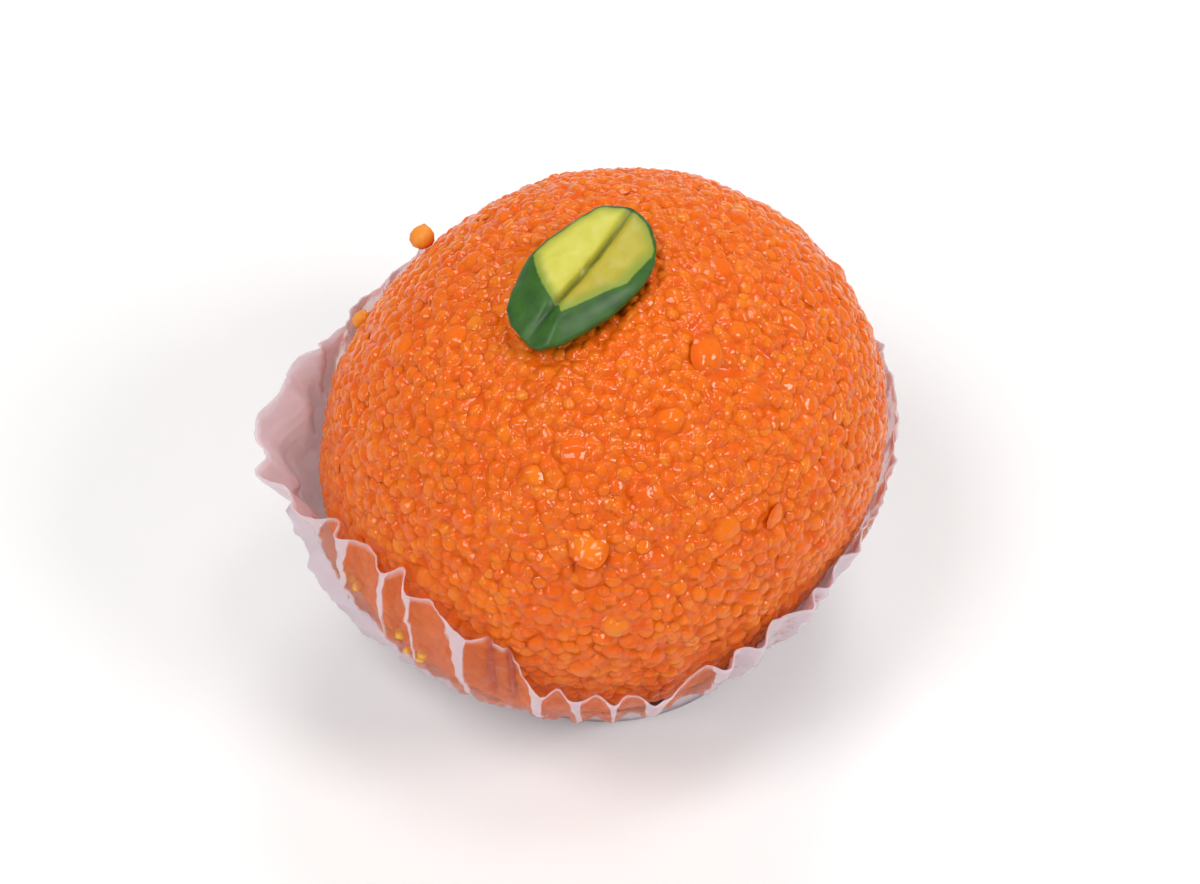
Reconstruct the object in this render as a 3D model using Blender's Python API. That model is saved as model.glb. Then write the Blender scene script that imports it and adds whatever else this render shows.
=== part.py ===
"""A motichoor ladoo: a hand-rolled ball of fine gram-flour pearls, in its fluted
paper case, with half a pistachio kernel pressed into the top.

Three solids: the ball, the paper case and the nut. Sizes are real, in metres, +Z up,
with the origin in the middle of the case's flat bottom. The front faces -Y.
"""

import bmesh
import bpy
import numpy as np
from mathutils import Matrix, Vector

MM = 0.001

# The ball
BALL_WIDTH = 50.0 * MM
BALL_TOP = 43.4 * MM
BALL_WIDEST_AT = 20.6 * MM
BALL_BULGE_BELOW = 22.6 * MM  # the lower half's own height, had the ball no flat foot
# Where the hand and the case pressed the ball out of round: degrees from the front
# towards the right, degrees above the widest level, how far out, how many degrees wide.
SWELLS = (
    (52.0, -26.0, -3.1 * MM, 38.0),
    (-128.0, 26.0, -1.8 * MM, 40.0),
    (0.0, -38.0, -0.2 * MM, 30.0),
    (-34.0, -40.0, -0.7 * MM, 24.0),
    (128.0, 30.0, 0.5 * MM, 30.0),
    (-20.0, 20.0, 0.4 * MM, 24.0),
    (75.0, 55.0, -0.4 * MM, 26.0),
    (-150.0, -20.0, -0.5 * MM, 35.0),
)

# Its pearls
PEARL_COUNT = 1490
PEARL_CROWN = 0.30 * MM
PEARL_GROOVE = 0.24 * MM
LARGE_PEARL_COUNT = 56
LARGE_PEARL_CROWN = 0.62 * MM
LARGE_PEARL_ROOM = 2.1 * MM  # no other crown is nearer to a large pearl's
SHOULDER_AT = 0.62  # a large pearl's shoulder, as a share of the way to its groove
SHOULDER_HEIGHT = 0.72
SEED = 11

# The paper case
PAPER = 0.35 * MM
FIT_GAP = 0.35 * MM
FOOT_RADIUS = 14.8 * MM
FLUTES = 36
FLUTE_DEPTH_HELD = 0.6 * MM  # where the wall lies against the ball
FLUTE_DEPTH_FREE = 1.6 * MM  # where it stands away
FLUTE_SKEW = 0.2  # of a half flute: the pleats lean to one side
RIM_RAGGED = 0.45 * MM
WALL_ROWS = 8
# The case was squeezed square, so that four sides hug the ball and four corners lean
# away, lower. At each direction in degrees from the front: the rim's height above the
# table, and how far it stands off the ball.
RIM = (
    (-180.0, 23.6 * MM, 3.0 * MM),
    (-158.0, 25.0 * MM, 1.4 * MM),
    (-132.0, 26.2 * MM, 0.1 * MM),
    (-105.0, 25.0 * MM, 1.6 * MM),
    (-86.0, 23.2 * MM, 4.2 * MM),
    (-73.0, 23.8 * MM, 1.6 * MM),
    (-65.0, 24.2 * MM, 0.6 * MM),
    (-57.0, 26.0 * MM, 0.2 * MM),
    (-47.0, 26.6 * MM, 0.1 * MM),
    (-32.0, 26.0 * MM, 0.1 * MM),
    (-24.0, 24.8 * MM, 0.2 * MM),
    (-18.0, 24.2 * MM, 0.6 * MM),
    (-14.0, 21.6 * MM, 0.8 * MM),
    (-9.0, 18.9 * MM, 0.8 * MM),
    (-1.0, 18.6 * MM, 1.2 * MM),
    (4.0, 17.9 * MM, 1.5 * MM),
    (12.0, 18.0 * MM, 1.6 * MM),
    (21.0, 20.0 * MM, 1.3 * MM),
    (32.0, 20.8 * MM, 1.2 * MM),
    (45.0, 21.6 * MM, 0.5 * MM),
    (56.0, 21.4 * MM, 0.2 * MM),
    (70.0, 20.8 * MM, 0.1 * MM),
    (82.0, 21.6 * MM, 0.1 * MM),
    (96.0, 22.4 * MM, 0.1 * MM),
    (112.0, 21.6 * MM, 0.1 * MM),
    (135.0, 23.4 * MM, 0.1 * MM),
    (155.0, 24.6 * MM, 0.9 * MM),
)

# The pistachio half
NUT_LENGTH = 15.4 * MM
NUT_WIDTH = 8.8 * MM
NUT_DEPTH = 3.1 * MM
NUT_CROWN = 0.45 * MM
NUT_SEAM_DEPTH = 0.4 * MM
NUT_SEAM_WIDTH = 0.9 * MM
NUT_SUNK = 2.3 * MM
NUT_PLACE = (-1.7 * MM, -0.8 * MM)
NUT_TURN = 52.0  # degrees from the ball's right
NUT_AROUND = 28
NUT_RINGS = 5

# sRGB finish of each piece: colour, roughness, metallic
BALL_FINISH = ((0.93, 0.42, 0.12), 0.30, 0.0)
PAPER_FINISH = ((0.90, 0.84, 0.86), 0.45, 0.0)
NUT_FINISH = ((0.70, 0.72, 0.22), 0.40, 0.0)

GOLDEN_ANGLE = np.pi * (3.0 - np.sqrt(5.0))


def smooth_step(low, high, value):
    t = np.clip((value - low) / (high - low), 0.0, 1.0)
    return t * t * (3.0 - 2.0 * t)


def heading(angle, sine):
    """The unit direction at an angle from the front and a sine of its rise."""
    level = np.sqrt(1.0 - sine**2)
    return np.array([level * np.sin(angle), -level * np.cos(angle), sine])


def out_of_round(direction):
    """How far the ball's skin stands beyond its true round, in one direction."""
    out = 0.0
    for angle, rise, size, spread in SWELLS:
        toward = heading(np.radians(angle), np.sin(np.radians(rise)))
        away = np.degrees(np.arccos(np.clip(direction @ toward, -1.0, 1.0)))
        out += size * np.exp(-((away / spread) ** 2))
    return out


def ball_round(direction):
    """The point of the ball's skin that lies in a direction from its middle, before
    the pearls, and the skin's normal there."""
    half_height = BALL_TOP - BALL_WIDEST_AT if direction[2] > 0 else BALL_BULGE_BELOW
    halves = np.array([BALL_WIDTH / 2, BALL_WIDTH / 2, half_height])
    normal = direction / halves
    normal /= np.linalg.norm(normal)
    middle = np.array([0.0, 0.0, BALL_WIDEST_AT])
    return middle + direction * halves + normal * out_of_round(direction), normal


def ball_radius(angle, height):
    """The ball's radius at an angle from the front and a height above the table."""
    sines = np.linspace(-0.95, 0.6, 32)
    skin = [ball_round(heading(angle, sine))[0] for sine in sines]
    heights = [point[2] for point in skin]
    return np.interp(height, heights, [np.hypot(point[0], point[1]) for point in skin])


def ball_point(direction, lift):
    """The ball's skin raised by lift along its normal. The foot is flat and smooth."""
    flat_at = PAPER + FIT_GAP
    point, normal = ball_round(direction)
    point += normal * lift * smooth_step(flat_at, flat_at + 3 * MM, point[2])
    point[2] = max(point[2], flat_at)
    return point


def pearl_directions(rng):
    """Directions of the pearls' crowns, evenly spread and a little shuffled, and
    whether each is a large pearl. Small pearls make room for the large ones."""
    rank = np.arange(PEARL_COUNT)
    height = 1.0 - (2.0 * rank + 1.0) / PEARL_COUNT
    spin = GOLDEN_ANGLE * rank
    level = np.sqrt(1.0 - height**2)
    found = np.column_stack([level * np.cos(spin), level * np.sin(spin), height])
    spacing = np.sqrt(4.0 * np.pi / PEARL_COUNT)
    found += rng.uniform(-0.24, 0.24, found.shape) * spacing
    found /= np.linalg.norm(found, axis=1)[:, None]

    large = np.zeros(PEARL_COUNT, bool)
    kept = np.ones(PEARL_COUNT, bool)
    room = 2.0 * LARGE_PEARL_ROOM / BALL_WIDTH
    for pick in rng.permutation(PEARL_COUNT):
        near = np.linalg.norm(found - found[pick], axis=1) < 2.2 * room
        if not kept[pick] or large[near].any() or found[pick, 2] < -0.5:
            continue
        large[pick] = True
        kept &= (np.linalg.norm(found - found[pick], axis=1) > room) | large
        if large.sum() == LARGE_PEARL_COUNT:
            break
    return found[kept], large[kept]


def link(name, mesh):
    item = bpy.data.objects.new(name, mesh)
    bpy.context.scene.collection.objects.link(item)
    return item


def mesh_from(name, points, faces):
    mesh = bpy.data.meshes.new(name)
    mesh.from_pydata([tuple(p) for p in points], [], faces)
    mesh.validate()
    mesh.update()
    return mesh


def finish(item, look):
    colour, roughness, metallic = look
    material = bpy.data.materials.new(item.name)
    material.use_nodes = True
    shader = material.node_tree.nodes["Principled BSDF"]
    shader.inputs["Base Color"].default_value = (*colour, 1.0)
    shader.inputs["Roughness"].default_value = roughness
    shader.inputs["Metallic"].default_value = metallic
    item.data.materials.append(material)


def make_ball():
    """Each pearl is a low pyramid: its crown, with a groove point in each gap between
    three pearls. A large pearl has a ring of shoulders between crown and grooves."""
    rng = np.random.default_rng(SEED)
    directions, large = pearl_directions(rng)
    net = bmesh.new()
    crowns = [net.verts.new(d) for d in directions]
    bmesh.ops.convex_hull(net, input=crowns)
    net.verts.index_update()
    net.faces.index_update()

    points = []
    for direction, is_large in zip(directions, large):
        height = LARGE_PEARL_CROWN if is_large else PEARL_CROWN
        points.append(ball_point(direction, height * rng.uniform(0.7, 1.2)))
    first_groove = len(points)
    grooves = []
    for face in net.faces:
        middle = np.array(face.calc_center_median().normalized())
        grooves.append(middle)
        points.append(ball_point(middle, -PEARL_GROOVE * rng.uniform(0.8, 1.2)))

    shoulders = {}

    def shoulder(pearl, groove):
        if (pearl, groove) not in shoulders:
            way = grooves[groove] * SHOULDER_AT + directions[pearl] * (1 - SHOULDER_AT)
            way /= np.linalg.norm(way)
            shoulders[pearl, groove] = len(points)
            points.append(ball_point(way, LARGE_PEARL_CROWN * SHOULDER_HEIGHT))
        return shoulders[pearl, groove]

    faces = []
    for edge in net.edges:
        sides = [f.index for f in edge.link_faces]
        for pearl, other in (edge.verts, reversed(edge.verts)):
            ahead = directions[other.index] - directions[pearl.index]
            turn = np.cross(directions[pearl.index], ahead)
            left, right = sorted(sides, key=lambda s: -float(grooves[s] @ turn))
            groove_left, groove_right = first_groove + left, first_groove + right
            if large[pearl.index]:
                near_left = shoulder(pearl.index, left)
                near_right = shoulder(pearl.index, right)
                faces.append((pearl.index, near_right, near_left))
                faces.append((near_left, near_right, groove_right))
                faces.append((near_left, groove_right, groove_left))
            else:
                faces.append((pearl.index, groove_right, groove_left))
    net.free()

    mesh = mesh_from("ladoo", points, faces)
    ball = link("ladoo", mesh)
    mesh.shade_smooth()
    finish(ball, BALL_FINISH)
    return ball


def wall_path(angle):
    """Radii and heights of the paper's inner face up the wall at one angle. It goes
    straight from the foot to the rim, and lies on the ball where it would cut it. Also
    how far its rim is free of the ball, from 0 to 1."""
    stops, rim_heights, stand_offs = zip(*RIM)
    rim_height = np.interp(np.degrees(angle), stops, rim_heights, period=360.0)
    stand_off = np.interp(np.degrees(angle), stops, stand_offs, period=360.0)
    heights = PAPER + np.linspace(0.0, 1.0, WALL_ROWS + 1) ** 0.85 * (rim_height - PAPER)
    held = ball_radius(angle, heights) + PEARL_CROWN * 1.2 + FIT_GAP
    straight = np.interp(heights, (PAPER, rim_height), (FOOT_RADIUS, held[-1] + stand_off))
    radii = np.maximum(straight, held)
    radii[0] = FOOT_RADIUS
    freedom = smooth_step(0.0, 2.5 * MM, stand_off)
    return radii, heights, float(freedom)


def wall_columns(rng):
    """For each fold line round the case, its points from foot to rim, as (radius,
    angle, height). Folds alternate between the ball's side and the outside."""
    columns = []
    for fold in range(2 * FLUTES):
        outside = fold % 2
        turn = (fold + outside * FLUTE_SKEW) / (2 * FLUTES)
        angle = 2.0 * np.pi * turn
        radii, heights, freedom = wall_path(angle)
        deep = FLUTE_DEPTH_HELD + (FLUTE_DEPTH_FREE - FLUTE_DEPTH_HELD) * freedom
        rise = np.linspace(0.0, 1.0, WALL_ROWS + 1)
        spread = outside * deep * (0.12 + 0.88 * rise) * rng.uniform(0.75, 1.2)
        spread[0] = 0.0
        heights = heights + rise * rng.uniform(-1.0, 1.0) * RIM_RAGGED
        columns.append([(r, angle, h) for r, h in zip(radii + spread, heights)])
    return columns


def on_case(radius, angle, height):
    return (radius * np.sin(angle), -radius * np.cos(angle), height)


def make_case():
    """A thin shell: the foot's disc and the fluted wall, with an inner and an outer
    face that meet at the rim."""
    rng = np.random.default_rng(SEED + 1)
    columns = wall_columns(rng)
    rows = WALL_ROWS + 1
    points = []
    for column in columns:
        for radius, angle, height in column:
            points.append(on_case(radius, angle, height))
    outer_start = len(points)
    for column in columns:
        for row, (radius, angle, height) in enumerate(column):
            low = 0.0 if row == 0 else height
            points.append(on_case(radius + PAPER, angle, low))
    inner_middle, outer_middle = len(points), len(points) + 1
    points += [(0.0, 0.0, PAPER), (0.0, 0.0, 0.0)]

    faces = []
    for here in range(len(columns)):
        after = (here + 1) % len(columns)
        inner_a, inner_b = here * rows, after * rows
        outer_a, outer_b = outer_start + inner_a, outer_start + inner_b
        for row in range(WALL_ROWS):
            faces.append((inner_a + row, inner_a + row + 1, inner_b + row + 1))
            faces.append((inner_a + row, inner_b + row + 1, inner_b + row))
            faces.append((outer_a + row, outer_b + row + 1, outer_a + row + 1))
            faces.append((outer_a + row, outer_b + row, outer_b + row + 1))
        rim_a, rim_b = inner_a + WALL_ROWS, inner_b + WALL_ROWS
        out_a, out_b = outer_a + WALL_ROWS, outer_b + WALL_ROWS
        faces.append((rim_a, out_a, out_b))
        faces.append((rim_a, out_b, rim_b))
        faces.append((inner_middle, inner_a, inner_b))
        faces.append((outer_middle, outer_b, outer_a))
    case = link("paper_case", mesh_from("paper_case", points, faces))
    finish(case, PAPER_FINISH)
    return case


def nut_outline(turn, share):
    """A point of the nut's plan, at a turn round it and a share of the way out. One
    end is blunt and the other comes to a soft tip."""
    along, across = np.cos(turn), np.sin(turn)
    boxy = (abs(along) ** 2.4 + abs(across) ** 2.4) ** (-1 / 2.4)
    narrower = 1.0 - 0.16 * smooth_step(0.0, 1.0, along)
    return (
        NUT_LENGTH / 2 * along * boxy * share,
        NUT_WIDTH / 2 * across * boxy * share * narrower,
    )


def nut_points(grow):
    """The nut's points about the middle of its cut face, ring by ring: the cut face's
    middle, its rings out to the rim, the rounded underside and its lowest point."""
    points = [(0.0, 0.0, NUT_CROWN - NUT_SEAM_DEPTH + grow)]
    for ring in range(1, NUT_RINGS + 1):
        share = ring / NUT_RINGS
        for k in range(NUT_AROUND):
            x, y = nut_outline(2 * np.pi * k / NUT_AROUND, share)
            seam = NUT_SEAM_DEPTH * np.exp(-((y / NUT_SEAM_WIDTH * 2) ** 2))
            height = (NUT_CROWN - seam) * (1.0 - share**4)
            points.append((x * (1 + grow / 4 / MM), y * (1 + grow / 3 / MM), height + grow))
    for ring in range(NUT_RINGS - 1, 0, -1):
        share = (ring / NUT_RINGS) ** 0.5
        for k in range(NUT_AROUND):
            x, y = nut_outline(2 * np.pi * k / NUT_AROUND, share)
            depth = NUT_DEPTH * (1.0 - share**3.2) ** (1 / 1.7)
            points.append((x * (1 + grow / 4 / MM), y * (1 + grow / 3 / MM), -depth - grow))
    points.append((0.0, 0.0, -NUT_DEPTH - grow))
    return points


def nut_faces():
    rings = 2 * NUT_RINGS - 1
    last = 1 + rings * NUT_AROUND
    faces = []
    for k in range(NUT_AROUND):
        after = (k + 1) % NUT_AROUND
        faces.append((0, 1 + k, 1 + after))
        for ring in range(rings - 1):
            a, b = 1 + ring * NUT_AROUND, 1 + (ring + 1) * NUT_AROUND
            faces.append((a + k, b + k, b + after))
            faces.append((a + k, b + after, a + after))
        faces.append((last, last - NUT_AROUND + after, last - NUT_AROUND + k))
    return faces


def place_nut(item):
    item.location = (*NUT_PLACE, BALL_TOP - NUT_SUNK + NUT_DEPTH)
    item.rotation_euler = (0.0, 0.0, np.radians(NUT_TURN))


def make_nut():
    nut = link("pistachio", mesh_from("pistachio", nut_points(0.0), nut_faces()))
    nut.data.shade_smooth()
    place_nut(nut)
    finish(nut, NUT_FINISH)
    return nut


def press_nut_in(ball):
    """The ball gives way under the nut: a cutter a little larger than the nut."""
    grown = nut_points(FIT_GAP)
    cutter = link("nut_cutter", mesh_from("nut_cutter", grown, nut_faces()))
    place_nut(cutter)
    cutter.hide_render = True
    cutter.display_type = "WIRE"
    dent = ball.modifiers.new("Nut dent", "BOOLEAN")
    dent.object = cutter
    dent.operation = "DIFFERENCE"
    dent.solver = "EXACT"


def stand_on_origin(items):
    """Moves everything so that the middle of its box is above the origin."""
    bpy.context.view_layer.update()
    corners = [
        item.matrix_world @ Vector(corner) for item in items for corner in item.bound_box
    ]
    middle = [
        (min(c[axis] for c in corners) + max(c[axis] for c in corners)) / 2
        for axis in (0, 1)
    ]
    for item in bpy.context.scene.objects:
        item.matrix_world = Matrix.Translation((-middle[0], -middle[1], 0.0)) @ item.matrix_world


def main():
    for item in list(bpy.data.objects):
        bpy.data.objects.remove(item)
    ball = make_ball()
    case = make_case()
    nut = make_nut()
    press_nut_in(ball)
    stand_on_origin([ball, case, nut])


main()
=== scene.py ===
"""A motichoor ladoo in its fluted greaseproof case, with half a pistachio on top.

The ball is a syrup core covered with fried gram-flour pearls, the case is one thin
pleated sheet, and the nut is a kernel half with its skin. Metres, +Z up, front at -Y.
"""

import math
import random
from functools import partial

import bmesh
import bpy
from mathutils import Matrix, Vector, noise
from mathutils.bvhtree import BVHTree


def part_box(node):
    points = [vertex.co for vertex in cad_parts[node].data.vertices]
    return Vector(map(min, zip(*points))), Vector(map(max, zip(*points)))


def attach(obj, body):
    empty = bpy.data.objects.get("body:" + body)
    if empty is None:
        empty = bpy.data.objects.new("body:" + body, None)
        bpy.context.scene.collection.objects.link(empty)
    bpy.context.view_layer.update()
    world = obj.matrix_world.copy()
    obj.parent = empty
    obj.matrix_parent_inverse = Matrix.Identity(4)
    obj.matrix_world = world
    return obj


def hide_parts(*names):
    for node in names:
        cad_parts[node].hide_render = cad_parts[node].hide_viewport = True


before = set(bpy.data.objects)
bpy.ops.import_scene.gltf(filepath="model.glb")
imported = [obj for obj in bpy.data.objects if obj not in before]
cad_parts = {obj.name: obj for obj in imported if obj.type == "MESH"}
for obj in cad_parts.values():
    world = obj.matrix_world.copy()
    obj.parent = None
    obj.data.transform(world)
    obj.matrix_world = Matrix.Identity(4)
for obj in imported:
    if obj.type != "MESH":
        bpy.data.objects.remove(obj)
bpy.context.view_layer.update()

MM = 0.001

# The photo's view, and how large the ladoo is in the frame
VIEW_ELEVATION = math.radians(52.5)  # above the table
TO_CAMERA = Vector((0.0, -math.cos(VIEW_ELEVATION), math.sin(VIEW_ELEVATION)))
VIEW_START = 80  # mm from the ball's middle, outside the part
VIEW_DISTANCE = 335 * MM
VIEW_LENS = 118.0  # mm, on a 36 mm sensor
BALL_MIDDLE_HEIGHT = 20.6 * MM
VIEW_AIM = Vector((-0.4, 0.0, 0.0)) * MM  # from the ball's middle
SKY_STRENGTH = 0.32
FLOOR_HALF = 2.0  # m

# The ball
CORE_SMOOTHING = 14  # rounds before its facets are split
CORE_CUTS = 3
FACET_SMOOTHING = 4  # rounds after
FLAT_EASE = 2 * MM  # over which the core comes down to its flat
CORE_DEPTH = 0.40 * MM  # below the ball's mean skin
GRAIN_SIZE = 1.10 * MM  # of the pearls fused into the core
GRAIN_HEIGHT = 0.48 * MM
GRAIN_SMOOTHNESS = 0.12
GRAIN_DOME = {"From Min": 0.1, "From Max": 0.9}  # from a grain's middle out to its crease
RIPPLE_SIZE = 0.85 * MM  # of the syrup's film over all grains
RIPPLE_DEPTH = 0.28 * MM
PEARL_SEAT = 0.13 * MM  # above the core's creases
FINE_SPACING = 1.08 * MM
FINE_DENSITY = 6.0e6  # tries for each square metre, before the spacing
FINE_RADIUS = (0.60 * MM, 0.90 * MM)
FINE_ROOM = 0.30 * MM  # kept clear round what is there before
LARGE_SPACING = 5.2 * MM
LARGE_DENSITY = 6.0e5
LARGE_RADIUS = (0.85 * MM, 1.25 * MM)
LARGE_ROOM = 1.0 * MM
PEARL_STRETCH = ((0.86, 0.86, 0.78), (1.14, 1.14, 1.02))  # least and most along its axes
PEARL_LEAN = 0.1  # radians
SMALLER_MORE_OFTEN = 1.6  # the power of the draw for a radius
MARKED_LIFT = 0.05  # mm off the core
CLUSTER = (1.2, 1.0)  # mm across and up from its middle to its furthest crumbs
CRUMB_SIZES = (0.7, 1.2)  # least and most of a cluster's radius
LOWEST_PEARL = 3.0 * MM  # nothing below this height is ever seen

# Half of a pearl's outline in its own radius, from below its top down to its skirt's hem:
# distance from its axis, height
LARGE_PROFILE = ((0.30, 0.35), (0.56, 0.29), (0.78, 0.18), (0.93, 0.07), (1.06, -0.03), (1.20, -0.22))
FINE_PROFILE = ((0.42, 0.31), (0.76, 0.16), (1.04, -0.14))
PEARL_TOP = 0.08  # above the first of these
MARKED_SIDES, LARGE_SIDES, FINE_SIDES = 20, 14, 8
# Across and up in the photo's view from the ball's middle, width and height in mm, tint
MARKED_PEARLS = (
    (8.4, 7.0, 3.2, 2.8, 0.4),
    (-1.3, -8.0, 2.7, 3.6, 0.99),
    (-5.4, -2.6, 1.8, 1.8, 0.97),
    (13.8, -6.1, 2.0, 2.2, 0.6),
)
# Across and up as above, how many, their radius and how far off the core, in mm
YELLOW_CRUMBS = (
    (-18.1, -16.5, 9, 0.55, 0.4),
    (-21.0, -10.9, 5, 0.45, 0.5),
    (-16.0, -17.8, 4, 0.4, 0.5),
)
ORANGE_CRUMBS = (
    (-18.0, 19.9, 1, 1.0, 1.5),
    (-21.3, 11.3, 2, 0.7, 0.5),
    (-9.8, -21.2, 1, 0.45, 0.6),
)

# The paper case
PAPER = 0.12 * MM
FOOT_RADIUS = 14.8 * MM
FLUTES = 36
COLUMNS = 432  # facets round the case
ROWS = 26  # facets up its wall
PAPER_CLEARANCE = 0.50 * MM  # off the core, so that the pearls fit inside
# At each direction in degrees from the front: the rim's height above the table, how far
# it stands off the ball, how far the paper bellies out below the ball's waist, how deep
# the pleats are at the rim (all mm), and how dry the paper stayed, from 0 to 1.
RIM = (
    (-180, 22.6, 1.8, 0.4, 0.9, 0.3),
    (-158, 24.4, 0.8, 0.4, 0.8, 0.3),
    (-132, 26.2, 0.1, 0.3, 0.5, 0.2),
    (-105, 25.0, 1.6, 0.8, 1.0, 0.5),
    (-86, 23.2, 4.2, 1.6, 1.3, 0.9),
    (-76, 23.6, 2.8, 2.2, 1.2, 0.8),
    (-68, 24.0, 1.4, 2.0, 1.1, 0.1),
    (-59, 25.6, 0.3, 1.7, 1.1, 0.0),
    (-47, 26.6, 0.0, 1.4, 1.1, 0.0),
    (-32, 26.0, 0.0, 1.4, 1.1, 0.0),
    (-24, 24.8, 0.0, 1.4, 1.2, 0.0),
    (-18, 24.2, 0.2, 1.3, 1.3, 0.0),
    (-14, 21.6, 0.2, 1.0, 1.3, 0.0),
    (-9, 19.4, 0.1, 0.5, 1.2, 0.0),
    (-1, 19.0, 0.0, 0.2, 1.1, 0.0),
    (4, 18.6, 0.0, 0.1, 1.1, 0.0),
    (12, 18.6, 0.0, 0.1, 1.1, 0.0),
    (21, 20.2, 0.0, 0.2, 1.1, 0.2),
    (32, 21.0, 0.1, 0.5, 1.1, 0.7),
    (45, 21.6, 0.1, 0.8, 1.0, 0.6),
    (56, 21.4, 0.1, 0.7, 0.8, 0.7),
    (70, 20.8, 0.0, 0.4, 0.5, 0.4),
    (82, 21.6, 0.1, 0.2, 0.4, 0.3),
    (96, 22.4, 0.1, 0.2, 0.4, 0.3),
    (112, 21.6, 0.1, 0.2, 0.4, 0.3),
    (135, 23.4, 0.1, 0.3, 0.5, 0.2),
    (155, 24.6, 0.8, 0.4, 0.8, 0.3),
    (180, 22.6, 1.8, 0.4, 0.9, 0.3),
)
DRY_OPACITY = 0.62
SOAKED_OPACITY = 0.28
RIM_SCALES = (40 * MM, 10 * MM, 10 * MM, 10 * MM, 1.0)  # the most that each column can hold
TUCKS = (-21.8, -17.8)  # degrees, where the sheet is folded in on itself
TUCK_WIDTH = {"From Min": math.radians(0.4), "From Max": math.radians(1.2)}  # to each side
TUCK_DEPTH = 0.5 * MM
RAGGED_RIM = 1.1 * MM  # up or down
PLEAT_FALL = 0.35 * MM  # the rim is lower on a pleat's ridge
CREASE_SIZE = 5 * MM
CREASE_DEPTH = 0.35 * MM  # more where the paper stands off the ball
WAIST_AT_SIDES = 19.0 * MM  # where the ball is widest in the photo's view
WAIST_SLOPE = 15.2 * MM  # how much lower that is in front, and higher behind
BELLY_START = {"From Min": 1.0 * MM, "From Max": 4.0 * MM}  # above the table
BELLY_END = 3.5 * MM  # above the waist
WALL_BLEND = 0.8 * MM  # between the leaning wall and the ball's form
OILED_GAP = {"From Min": 1.1 * MM, "From Max": 1.7 * MM}  # from soaked to dry
HIGHEST_MILKY = 12.0 * MM  # the paper stays milky below this and below the waist
MILKY_POINTS = 2.5 * MM  # higher on the pleats
MILKY_FADE = 0.8 * MM
SAME_SPOT = 0.01 * MM
RAY_LENGTH = 60  # mm, longer than the part is wide

# The pistachio half
NUT_DEPTH = 3.1 * MM
NUT_TURN = 52.0  # degrees from the ball's right
NUT_CROWN = 0.45 * MM
NUT_SEAM = (-0.29, 0.08, 0.01)  # mm across at its middle, its slope and its bend
SEAM_WIDTH = 0.27  # mm, like the next five
SEAM_DEPTH = 0.7
LOBE_RISE = 0.17
LOBE_FROM_SEAM = 1.7
SKIN_DROP = 1.5  # how far the skin rounds down from the cut face
SKIN_DROP_OVER = 2.4
# The cut face's outline from its tip round by its left, in mm along and across
NUT_OUTLINE = (
    (7.7, 1.1),
    (5.9, 3.3),
    (-0.2, 4.4),
    (-3.9, 3.9),
    (-6.4, 2.5),
    (-7.7, -0.6),
    (-6.6, -2.7),
    (-0.6, -4.4),
    (4.2, -4.1),
    (7.1, -1.6),
)

scene = bpy.context.scene


def linear(code):
    """An sRGB hex colour as linear RGBA."""
    parts = [int(code[at : at + 2], 16) / 255 for at in (1, 3, 5)]
    light = [p / 12.92 if p <= 0.04045 else ((p + 0.055) / 1.055) ** 2.4 for p in parts]
    return (*light, 1.0)


def add_node(tree, kind, inputs=(), **settings):
    """Adds a node with its settings. Its inputs, by name or in order, each get a value, a
    socket to follow or a node, whose first output they follow."""
    node = tree.nodes.new(kind)
    for name, value in settings.items():
        setattr(node, name, value)
    wanted = inputs.items() if isinstance(inputs, dict) else enumerate(inputs)
    for key, value in wanted:
        if isinstance(value, bpy.types.Node):
            value = value.outputs[0]
        if isinstance(value, bpy.types.NodeSocket):
            tree.links.new(value, node.inputs[key])
        else:
            node.inputs[key].default_value = value
    return node


def link_object(name, mesh):
    item = bpy.data.objects.new(name, mesh)
    scene.collection.objects.link(item)
    return item


def keep_mesh(name, shape, material=None):
    """Ends a bmesh, and gives its plain mesh."""
    mesh = bpy.data.meshes.new(name)
    shape.to_mesh(mesh)
    shape.free()
    if material:
        mesh.materials.append(material)
    return mesh


def geometry_tree(name, inputs):
    """An empty Geometry Nodes tree with a geometry input and the named ones, each given
    as (name, socket type), and its two end nodes."""
    tree = bpy.data.node_groups.new(name, "GeometryNodeTree")
    for label, kind in (("Geometry", "NodeSocketGeometry"), *inputs):
        tree.interface.new_socket(label, in_out="INPUT", socket_type=kind)
    tree.interface.new_socket("Geometry", in_out="OUTPUT", socket_type="NodeSocketGeometry")
    return tree, add_node(tree, "NodeGroupInput"), add_node(tree, "NodeGroupOutput")


def grow(name, tree, values, start=None, wall=None):
    """Runs a tree on a mesh with its named inputs set, gives the result a wall where one
    is asked for, and keeps it as a plain mesh object."""
    maker = link_object(name + "_maker", start or bpy.data.meshes.new(name))
    modifier = maker.modifiers.new(name, "NODES")
    modifier.node_group = tree
    for item in tree.interface.items_tree:
        if item.in_out == "INPUT" and item.name in values:
            modifier[item.identifier] = values[item.name]
    if wall:
        thickness = maker.modifiers.new("Wall", "SOLIDIFY")
        thickness.thickness = wall
        thickness.offset = 1.0
        thickness.use_even_offset = True
    depsgraph = bpy.context.evaluated_depsgraph_get()
    mesh = bpy.data.meshes.new_from_object(
        maker.evaluated_get(depsgraph), preserve_all_data_layers=True, depsgraph=depsgraph
    )
    bpy.data.objects.remove(maker)
    mesh.name = name
    return link_object(name, mesh)


# Materials


WAVE_PERIOD = 0.314  # of a wave texture's bands at scale 1
SYRUP_GLAZE = {
    "Roughness": 0.45,
    "IOR": 1.46,
    "Specular IOR Level": 0.0,
    "Subsurface Weight": 0.3,
    "Subsurface Scale": 0.8 * MM,
    "Subsurface Radius": (1.0, 0.45, 0.15),
    "Coat Weight": 0.85,
    "Coat Roughness": 0.05,
    "Coat IOR": 1.42,
}


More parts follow.
